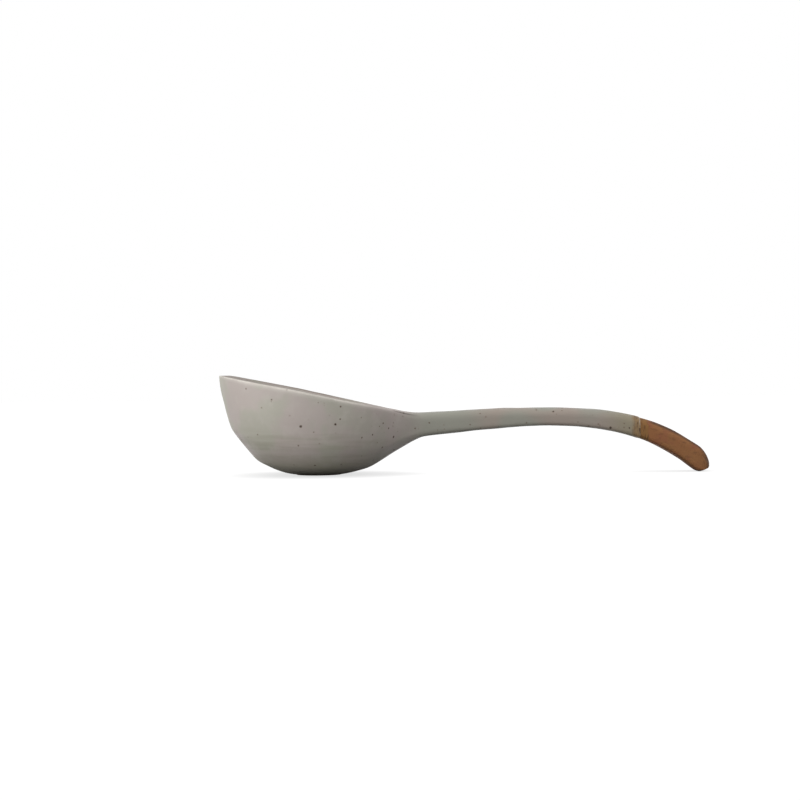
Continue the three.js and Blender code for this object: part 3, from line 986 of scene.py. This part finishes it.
def toasted_clay(finish):
    """Bare stoneware, toasted brown, with grain along the tip and an ochre flash beside the glaze."""
    clay = Finish("toasted clay", finish.clay_toasted)
    tip_turn = (0, -bpy.context.scene.spoon_handle.tip_droop, 0)
    patches = clay.cloud(*CLAY_PATCH)
    ruddy = clay.cloud(*CLAY_RUDDY, clay.stretched(location=RUDDY_SHIFT))
    grain = clay.cloud(*CLAY_GRAIN, clay.stretched(ALONG_TIP, tip_turn))
    grit = clay.cloud(*CLAY_GRIT)
    clay.coat(finish.clay_pale, clay.span(patches, *PALE_PATCH))
    clay.coat(finish.clay_red, clay.span(ruddy, *RUDDY_PATCH))
    clay.coat(finish.clay_dark_and_shade, clay.span(grain, *DARK_GRAIN))
    clay.coat(finish.clay_dark_and_shade, clay.span(grit, *DARK_GRIT))
    ochre_flash(clay, finish)
    # The fired mark holds painted shade along the tip's outline and at its heel
    clay.coat(finish.clay_dark_and_shade, clay.mark("fired"), clay.span(clay.cloud(*OUTLINE_SHADE_CLOUD), *OUTLINE_SHADE_PATCH))
    clay.bump(clay.plus(grain, clay.times(grit, GRIT_RELIEF)), *CLAY_RELIEF)
    return clay.shade(clay.span(patches, *CLAY_ROUGHNESS), CLAY_SPECULAR)


def ochre_flash(clay, finish):
    """The ochre flash from under the glaze's edge to a ragged end, with dark strokes in it."""
    past = clay.past_glaze()
    ragged = clay.plus(past, clay.span(clay.cloud(*CLAY_RAGS), *FLASH_RAGS))
    flash = clay.span(ragged, finish.flash_length + FLASH_SOFT, finish.flash_length - FLASH_SOFT)
    stroked = clay.tint(clay.span(clay.strokes(), *FLASH_STROKES), finish.flash, finish.clay_dark_and_shade)
    clay.coat(stroked, flash, clay.span(past, *FLASH_PAST), FLASH_COAT)


def fired_slip(finish):
    """The slip between bowl and handle, a little paler than the clay, with trowelled streaks."""
    slip = Finish("fired slip", finish.slip_pale)
    streaks = slip.cloud(*SLIP_STREAKS, slip.stretched(UP_WALL))
    slip.coat(finish.clay_toasted, slip.span(streaks, *TOASTED_STREAKS))
    slip.bump(streaks, *SLIP_RELIEF)
    return slip.shade(slip.span(streaks, *SLIP_ROUGHNESS), CLAY_SPECULAR)


def pale_floor(stage):
    """A white floor with a little of the spoon's shadow, and ambient occlusion as painted contact shade."""
    paint = bpy.data.materials.new("pale floor")
    nodes = Nodes(paint)
    nodes.tree.nodes.remove(nodes.tree.nodes["Principled BSDF"])
    seen = nodes.seen_rays()
    tone = nodes.span(seen, 0, 1, stage.floor_bounce, stage.floor_shade)
    matt = nodes.add("ShaderNodeBsdfDiffuse", {"Color": tone})
    # Painted contact shade: ambient occlusion dims the floor's white close round the spoon
    painted_contact_shade = nodes.add("ShaderNodeAmbientOcclusion", {"Distance": stage.contact}).outputs["Color"]
    straight = nodes.add("ShaderNodeLightPath").outputs["Is Camera Ray"]
    dim = nodes.tint(nodes.span(straight, 0, 1, 1, stage.contact_seen), WHITE, painted_contact_shade)
    light = nodes.add("ShaderNodeEmission", {"Color": dim, "Strength": nodes.times(seen, stage.floor_white)})
    both = nodes.add("ShaderNodeAddShader", {0: matt.outputs[0], 1: light.outputs[0]})
    nodes.feed(nodes.tree.nodes["Material Output"].inputs["Surface"], both.outputs[0])
    return paint


# Operators

# The clay of the rim is lower under the handle's root, in zones along the spoon and up from the table
ROOT_REACH = (22 * MM, 29 * MM)
ROOT_RISE = (20 * MM, 24 * MM)

# The clay wanders fully this many times the foot's rise above the table, and the handle's in this zone
FOOT_CALM = 3
ABOVE_HEEL = (0, 6 * MM)

# Painted shade along the tip's outline, in zones of its normal, sideways and up, and more of it above than
# below
OUTLINE_SHADE_SIDES = (0.85, 0.45)
OUTLINE_SHADE_UPWARD = (-0.9, -0.4)
OUTLINE_SHADE_BELOW = 0.3
OUTLINE_SHADE_ABOVE = 0.9
# The shade lies in zones of place too: across the tip, up from the table and past the glaze's edge
OUTLINE_SHADE_ACROSS = (1 * MM, 7 * MM)
OUTLINE_SHADE_MIDDLE = 0.75
# Painted contact shade at the heel, where it stands on the table
CONTACT_SHADE_HEEL = (1.4 * MM, 0)
OUTLINE_SHADE_PAST = (2 * MM, 6 * MM)

# The rolled edge of the glaze on the handle: how far behind the edge, how deep, and how far rolled over
GLAZE_EDGE = (
    (3.2 * MM, 0, 0),
    (1.4 * MM, 0, 0),
    (0.6 * MM, 0, 0),
    (0.2 * MM, 0.06 * MM, 0.6),
    (0, 0.24 * MM, 1),
)
# How that edge wavers: the share of each wave, how often it goes round, and the angle at which it starts
EDGE_WAVES = ((0.6, 2, 0.6), (0.4, 3, 2.1))
# The glaze pools, with painted shade, over this many rows of the mesh above the floor inside
POOL_ROWS = 5

# Half the width of the floor
FLOOR_HALF = 4


def spoon_of(context):
    scene = context.scene
    return scene.spoon_bowl, scene.spoon_handle, scene.spoon_finish


def material_named(name, make, finish):
    return bpy.data.materials.get(name) or make(finish)


class SPOON_OT_clay_bowl(Operator):
    """Build the clay bowl, with the bare foot that it stands on"""

    bl_idname = "spoon.clay_bowl"
    bl_label = "Clay bowl"

    def execute(self, context):
        bowl, _, finish = spoon_of(context)
        draft = Draft("fired")
        rows = [draft.ring(ring) for ring in foot_rings(bowl)]
        for rings in (outside_rings, rim_rings, inside_rings):
            rows += [draft.ring(ring) for ring in rings(bowl, finish.clay_depth)]
        draft.bands(rows)
        draft.fan(rows[-1])
        draft.fan(rows[0][::-1])
        made = draft.piece("clay_bowl", material_named("toasted clay", toasted_clay, finish))
        press_in(made, lambda place: self.depth(bowl, finish, place))
        seat(made, "bare_clay", "bowl")
        return {"FINISHED"}

    def depth(self, bowl, finish, place):
        """How far the clay lies in: it wanders above the foot, and is lower where the root covers it."""
        wander = wobble(finish, place) * ease(place.z, bowl.foot_rise, FOOT_CALM * bowl.foot_rise)
        covered = ease(place.x, *ROOT_REACH) * ease(place.z, *ROOT_RISE)
        return wander + finish.root_cover * covered


class SPOON_OT_slip_pad(Operator):
    """Build the pad of slip that joins the root of the handle to the wall of the bowl"""

    bl_idname = "spoon.slip_pad"
    bl_label = "Slip pad"

    def execute(self, context):
        bowl, _, finish = spoon_of(context)
        rows = range(NECK_LOW_ROW + 1, len(OUTSIDE_CLIMBS))
        columns = range(1 - NECK_COLUMNS, NECK_COLUMNS)
        depth = finish.clay_depth - finish.slip_gap
        draft = Draft()
        inside = self.sheet(draft, outside_rings(bowl, depth), rows, columns)
        outside = self.sheet(draft, outside_rings(bowl, -depth), rows, columns)
        for row in rows[:-1]:
            for column in columns[:-1]:
                corners = [(row, column), (row, column + 1), (row + 1, column + 1), (row + 1, column)]
                draft.mesh.faces.new([outside[corner] for corner in corners])
                draft.mesh.faces.new([inside[corner] for corner in reversed(corners)])
        edge = self.edge(rows, columns)
        draft.band([inside[stitch] for stitch in edge], [outside[stitch] for stitch in edge])
        made = draft.piece("slip_pad", material_named("fired slip", fired_slip, finish))
        seat(made, "dried_slip", "luting_slip")
        return {"FINISHED"}

    def sheet(self, draft, rings, rows, columns):
        """The points of one side of the pad, by row and column."""
        stitches = [(row, column) for row in rows for column in columns]
        points = [patch_point(rings, row, column, PAD_SHRINK) for row, column in stitches]
        return dict(zip(stitches, draft.ring(points)))

    def edge(self, rows, columns):
        """The rows and columns round the pad."""
        low, high, left, right = rows[0], rows[-1], columns[0], columns[-1]
        up = [(row, right) for row in range(low, high)]
        over = [(high, column) for column in range(right, left, -1)]
        down = [(row, left) for row in range(high, low, -1)]
        return up + over + down + [(low, column) for column in range(left, right)]


class SPOON_OT_clay_handle(Operator):
    """Build the clay handle, from its root on the bowl's wall to its bare tip"""

    bl_idname = "spoon.clay_handle"
    bl_label = "Clay handle"

    def execute(self, context):
        bowl, handle, finish = spoon_of(context)
        spine = Spine(handle, finish.proud)
        deep, shallow = finish.clay_depth, finish.proud
        rings = outside_rings(bowl, deep) + rim_rings(bowl, deep)
        draft = Draft("fired")
        rows = [draft.ring(mouth_ring(rings, ROOT_SHRINK))]
        rows += [draft.ring(ring) for ring in neck_rings(rings, spine, deep, ROOT_SHRINK)]
        bare = spine.glaze_edge - BARE_OVERLAP
        for reach in stops(0, bare - ARCH_STEP, ARCH_STEP) + stops(bare, spine.length, TIP_STEP):
            depth = shallow if reach >= bare else deep
            rows.append(draft.ring(handle_circle(lambda turn: spine.surface(reach, turn, depth))))
        for step in range(NOSE_STEPS):
            part = (step + 1) / (NOSE_STEPS + 1)
            rows.append(draft.ring(handle_circle(lambda turn: spine.nose(part, turn, shallow))))
        draft.bands(rows)
        draft.fan(rows[-1], spine.nose(1, 0, shallow))
        self.close_root(draft, outside_rings(bowl, -deep) + rim_rings(bowl, deep), rows[0])
        made = draft.piece("clay_handle", material_named("toasted clay", toasted_clay, finish))
        press_in(made, lambda place: wobble(finish, place) * ease(place.z, *ABOVE_HEEL))
        self.rub_heel(made, handle)
        # Paints shade along the tip's outline into the fired mark
        self.fire(made, spine)
        seat(made, "bare_clay", "handle")
        return {"FINISHED"}

    def close_root(self, draft, rings, mouth):
        """Closes the root with the patch of wall that it sits on."""
        found = dict(zip(neck_mouth(), mouth))

        def vert_at(row, column):
            if (row, column) not in found:
                (found[row, column],) = draft.ring([patch_point(rings, row, column, ROOT_SHRINK)])
            return found[row, column]

        for row in range(NECK_LOW_ROW, NECK_TOP_ROW):
            for column in range(-NECK_COLUMNS, NECK_COLUMNS):
                corners = [(row, column), (row + 1, column), (row + 1, column + 1), (row, column + 1)]
                draft.mesh.faces.new([vert_at(*corner) for corner in corners])

    def rub_heel(self, piece, handle):
        """Cuts the slope under the tip's end, and rubs its heel flat on the table."""
        start = handle.reach + handle.heel_start
        for vert in piece.data.vertices:
            for floor in (max(0, (vert.co.x - start) * math.tan(handle.heel_slope)), 0):
                height = vert.co.z - floor
                vert.co.z = floor + (height + math.hypot(height, handle.heel_soft)) / 2
        piece.data.update()

    def fire(self, piece, spine):
        """Marks painted shade on the tip: on its top and round its end, most of all along the edges."""
        fired = piece.data.attributes["fired"].data
        upward = Vector((-spine.tip_way.z, 0, spine.tip_way.x))
        for vert, mark in zip(piece.data.vertices, fired):
            turned = ease(abs(vert.normal.y), *OUTLINE_SHADE_SIDES)
            above = between(OUTLINE_SHADE_BELOW, OUTLINE_SHADE_ABOVE, ease(vert.normal.dot(upward), *OUTLINE_SHADE_UPWARD))
            aside = between(OUTLINE_SHADE_MIDDLE, 1, ease(abs(vert.co.y), *OUTLINE_SHADE_ACROSS))
            heel = ease(vert.co.z, *CONTACT_SHADE_HEEL)
            past = vert.co.x - spine.glaze_end
            mark.value = max(turned * above * aside, heel) * ease(past, *OUTLINE_SHADE_PAST)


class SPOON_OT_glaze_skin(Operator):
    """Build the glaze over the bowl, the neck and the handle, as far as the dip's edge"""

    bl_idname = "spoon.glaze_skin"
    bl_label = "Glaze"

    def execute(self, context):
        bowl, handle, finish = spoon_of(context)
        spine = Spine(handle, finish.proud)
        rings = outside_rings(bowl, 0) + rim_rings(bowl, 0) + inside_rings(bowl, 0)
        floor_row = len(rings) - len(FLOOR_SHARES)
        # Marks for the painted rim highlight, the darker rim top, the pool with painted shade, and the rolled
        # edge
        draft = Draft("thin", "broken", "pooled", "rolled")
        rows = [draft.ring(ring, **self.marks(row, floor_row)) for row, ring in enumerate(rings)]
        opening = [column % BOWL_SIDES for column in range(-NECK_COLUMNS, NECK_COLUMNS)]
        for row, (low, high) in enumerate(zip(rows, rows[1:])):
            draft.band(low, high, opening if NECK_LOW_ROW <= row < NECK_TOP_ROW else ())
        # Pooled glaze and painted shade are whole in the middle of the floor
        draft.fan(rows[-1], pooled=1)
        tube = [[rows[row][column] for row, column in neck_mouth()]]
        tube += [draft.ring(ring) for ring in neck_rings(rings, spine, 0)]
        for reach in stops(0, spine.glaze_edge - 2 * ARCH_STEP, ARCH_STEP):
            tube.append(draft.ring(handle_circle(lambda turn: spine.surface(reach, turn))))
        for behind, depth, rolled in GLAZE_EDGE:
            tube.append(draft.ring(self.edge_ring(spine, finish, behind, depth), rolled=rolled))
        draft.bands(tube)
        made = draft.piece("glaze_skin", material_named("speckled glaze", speckled_glaze, finish))
        press_in(made, lambda place: wobble(finish, place))
        shell = made.modifiers.new("Glaze thickness", "SOLIDIFY")
        shell.thickness = finish.skin
        shell.offset = -1
        seat(made, "speckled_glaze", "glaze_coat")
        return {"FINISHED"}

    def marks(self, row, floor_row):
        """Marks at a row: painted highlight on the rim's edge, a darker top, pooling and painted shade
        inside.
        """
        return {
            "thin": float(len(OUTSIDE_CLIMBS) <= row < NECK_TOP_ROW),
            "broken": float(NECK_TOP_ROW <= row <= NECK_TOP_ROW + ROUND_STEPS),
            "pooled": ease(row, floor_row - POOL_ROWS, floor_row),
        }

    def edge_ring(self, spine, finish, behind, depth):
        """A ring behind the glaze's edge, which the dip left upright as the spoon lies."""
        facing = spine.at(spine.glaze_edge)[1]

        def point_at(turn):
            waves = [part * math.sin(count * turn + start) for part, count, start in EDGE_WAVES]
            wave = finish.edge_wave * sum(waves)
            lean = spine.spoke(spine.glaze_edge, turn).z * facing.z
            return spine.surface(spine.glaze_edge + wave + lean - behind, turn, depth)

        return handle_circle(point_at)


class SPOON_OT_stage(Operator):
    """Set the floor, the lamps, the even light and the camera"""

    bl_idname = "spoon.stage"
    bl_label = "Stage"

    def execute(self, context):
        scene = context.scene
        stage = scene.spoon_stage
        self.floor(scene, stage)
        self.sky(scene, stage)
        self.lamp(scene, "key lamp", stage.key_place, stage.key_size, stage.key_power)
        self.lamp(scene, "fill lamp", stage.fill_place, stage.fill_size, stage.fill_power)
        self.camera(scene, stage)
        scene.view_settings.view_transform = "Standard"
        return {"FINISHED"}

    def floor(self, scene, stage):
        corners = [(FLOOR_HALF * x, FLOOR_HALF * y, 0) for x, y in ((-1, -1), (1, -1), (1, 1), (-1, 1))]
        data = bpy.data.meshes.new("floor")
        data.from_pydata(corners, [], [(0, 1, 2, 3)])
        data.materials.append(pale_floor(stage))
        floor = bpy.data.objects.new("floor", data)
        scene.collection.objects.link(floor)

    def sky(self, scene, stage):
        """Even light all round, from a sky that is seen as white."""
        scene.world = bpy.data.worlds.new("studio")
        nodes = Nodes(scene.world)
        light = nodes.tree.nodes["Background"]
        nodes.feed(light.inputs["Color"], WHITE)
        nodes.feed(light.inputs["Strength"], nodes.span(nodes.seen_rays(), 0, 1, stage.sky, 1))

    def lamp(self, scene, name, place, size, watts):
        """A round lamp that faces the foot."""
        data = bpy.data.lights.new(name, "AREA")
        data.shape = "DISK"
        data.size = size
        data.energy = watts
        lamp = bpy.data.objects.new(name, data)
        lamp.location = place
        lamp.rotation_euler = (-Vector(place)).to_track_quat("-Z", "Y").to_euler()
        scene.collection.objects.link(lamp)

    def camera(self, scene, stage):
        data = bpy.data.cameras.new("camera")
        data.lens = stage.lens
        camera = bpy.data.objects.new("camera", data)
        back = Vector((0, -math.cos(stage.elevation), math.sin(stage.elevation)))
        camera.location = Vector(stage.target) + back * stage.distance
        lean = Quaternion((0, 0, 1), -stage.roll)
        camera.rotation_mode = "QUATERNION"
        camera.rotation_quaternion = (-back).to_track_quat("-Z", "Y") @ lean
        scene.collection.objects.link(camera)
        scene.camera = camera


class SPOON_PT_sidebar(Panel):
    """The spoon's sizes and finishes, and the buttons that build it"""

    bl_idname = "SPOON_PT_sidebar"
    bl_label = "Soup spoon"
    bl_space_type = "VIEW_3D"
    bl_region_type = "UI"
    bl_category = "Spoon"

    def draw(self, context):
        for title, group in GROUPS.items():
            box = self.layout.box()
            box.label(text=group.__doc__)
            settings = getattr(context.scene, title)
            for name in group.__annotations__:
                box.prop(settings, name)
        for operator in OPERATORS:
            self.layout.operator(operator.bl_idname)


GROUPS = {
    "spoon_bowl": BowlShape,
    "spoon_handle": HandleShape,
    "spoon_finish": SpoonFinish,
    "spoon_stage": SpoonStage,
}
OPERATORS = (
    SPOON_OT_clay_bowl,
    SPOON_OT_slip_pad,
    SPOON_OT_clay_handle,
    SPOON_OT_glaze_skin,
    SPOON_OT_stage,
)


def register():
    for item in (*GROUPS.values(), *OPERATORS, SPOON_PT_sidebar):
        bpy.utils.register_class(item)
    for title, group in GROUPS.items():
        setattr(bpy.types.Scene, title, PointerProperty(type=group))


def unregister():
    for title in GROUPS:
        delattr(bpy.types.Scene, title)
    for item in (SPOON_PT_sidebar, *reversed(OPERATORS), *reversed(GROUPS.values())):
        bpy.utils.unregister_class(item)


def main():
    register()
    bpy.ops.spoon.clay_bowl()
    bpy.ops.spoon.slip_pad()
    bpy.ops.spoon.clay_handle()
    bpy.ops.spoon.glaze_skin()
    bpy.ops.spoon.stage()


if __name__ == "__main__":
    main()
